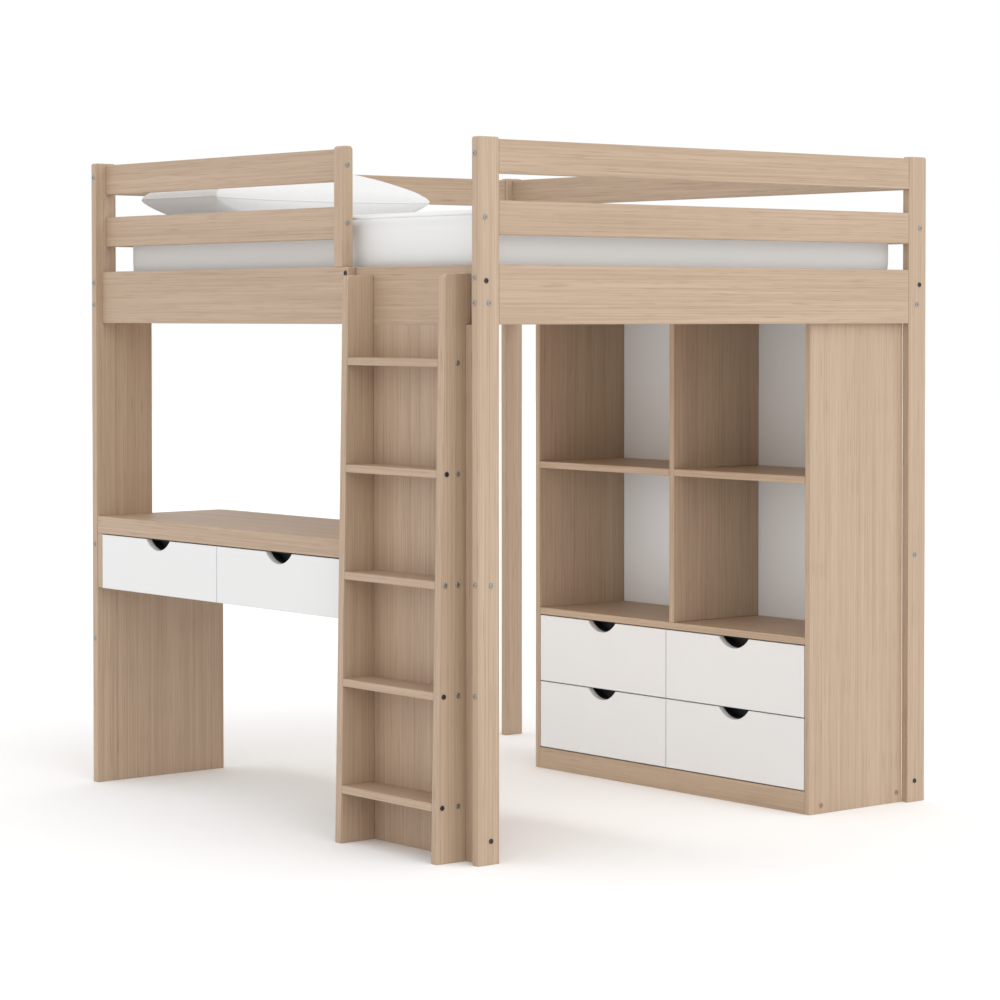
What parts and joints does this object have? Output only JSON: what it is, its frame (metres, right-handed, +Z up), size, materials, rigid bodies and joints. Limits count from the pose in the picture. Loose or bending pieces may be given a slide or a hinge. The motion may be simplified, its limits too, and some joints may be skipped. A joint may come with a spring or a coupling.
{
  "type": "loft bed with desk",
  "caption": "Loft bed with guard rails over a desk with drawers and a bookcase with drawers, reached by a ladder with a closed back; with mattress and pillow.",
  "frame": {"origin": "on the floor, in the middle of the footprint", "axes": "+Z up, -Y the long side with the ladder and the desk's front, +X the end beside the ladder, where the bookcase stands at the back"},
  "size_m": [1.8, 1.665, 1.802],
  "materials": {
    "oak_laminate": "satin light oak laminate, its fine grain along each board",
    "white_laminate": "satin white laminate",
    "drawer_board": "matt pale grey foil on board",
    "pine": "plain planed pine",
    "mattress_cloth": "white woven cotton",
    "pillow_cloth": "white cotton pillowcase"
  },
  "bodies": {
    "bed": {"post_front_left": "oak_laminate", "post_front_right": "oak_laminate", "post_back_left": "oak_laminate", "post_back_right": "oak_laminate", "left_end_wide_rail": "oak_laminate", "left_end_lower_guard_rail": "oak_laminate", "left_end_upper_guard_rail": "oak_laminate", "right_end_wide_rail": "oak_laminate", "right_end_lower_guard_rail": "oak_laminate", "right_end_upper_guard_rail": "oak_laminate", "back_wide_rail": "oak_laminate", "back_lower_guard_rail": "oak_laminate", "back_upper_guard_rail": "oak_laminate", "front_fascia_rail": "oak_laminate", "front_side_rail": "oak_laminate", "front_lower_guard_rail": "oak_laminate", "front_upper_guard_rail": "oak_laminate", "entry_post": "oak_laminate", "ladder_back_panel": "oak_laminate", "ladder_filler": "oak_laminate", "ladder_stile_left": "oak_laminate", "ladder_stile_right": "oak_laminate", "ladder_tread_1": "oak_laminate", "ladder_tread_2": "oak_laminate", "ladder_tread_3": "oak_laminate", "ladder_tread_4": "oak_laminate", "ladder_tread_5": "oak_laminate", "front_ledger": "pine", "back_ledger": "pine", "slatted_base": "pine", "mattress": "mattress_cloth", "pillow": "pillow_cloth", "desk_side_panel": "oak_laminate", "desk_top": "oak_laminate", "desk_left_cheek": "oak_laminate", "desk_right_support": "oak_laminate", "desk_divider": "oak_laminate", "desk_back": "oak_laminate", "bookcase_side_left": "oak_laminate", "bookcase_side_right": "oak_laminate", "bookcase_top": "oak_laminate", "bookcase_drawer_deck": "oak_laminate", "bookcase_shelf": "oak_laminate", "bookcase_divider": "oak_laminate", "bookcase_drawer_divider": "oak_laminate", "bookcase_back": "white_laminate", "bookcase_plinth": "oak_laminate", "bookcase_rear_rail": "oak_laminate"},
    "desk_drawer_left": {"desk_drawer_left_front": "white_laminate", "desk_drawer_left_box": "drawer_board"},
    "desk_drawer_right": {"desk_drawer_right_front": "white_laminate", "desk_drawer_right_box": "drawer_board"},
    "bookcase_drawer_lower_left": {"bookcase_drawer_lower_left_front": "white_laminate", "bookcase_drawer_lower_left_box": "drawer_board"},
    "bookcase_drawer_lower_right": {"bookcase_drawer_lower_right_front": "white_laminate", "bookcase_drawer_lower_right_box": "drawer_board"},
    "bookcase_drawer_upper_left": {"bookcase_drawer_upper_left_front": "white_laminate", "bookcase_drawer_upper_left_box": "drawer_board"},
    "bookcase_drawer_upper_right": {"bookcase_drawer_upper_right_front": "white_laminate", "bookcase_drawer_upper_right_box": "drawer_board"}
  },
  "joints": [
    {"name": "desk_drawer_left_slide", "type": "slide", "parent": "bed", "child": "desk_drawer_left", "axis": [0, -1, 0], "range_m": [0, 0.28]},
    {"name": "desk_drawer_right_slide", "type": "slide", "parent": "bed", "child": "desk_drawer_right", "axis": [0, -1, 0], "range_m": [0, 0.28]},
    {"name": "bookcase_drawer_lower_left_slide", "type": "slide", "parent": "bed", "child": "bookcase_drawer_lower_left", "axis": [0, -1, 0], "range_m": [0, 0.2]},
    {"name": "bookcase_drawer_lower_right_slide", "type": "slide", "parent": "bed", "child": "bookcase_drawer_lower_right", "axis": [0, -1, 0], "range_m": [0, 0.2]},
    {"name": "bookcase_drawer_upper_left_slide", "type": "slide", "parent": "bed", "child": "bookcase_drawer_upper_left", "axis": [0, -1, 0], "range_m": [0, 0.2]},
    {"name": "bookcase_drawer_upper_right_slide", "type": "slide", "parent": "bed", "child": "bookcase_drawer_upper_right", "axis": [0, -1, 0], "range_m": [0, 0.2]}
  ]
}
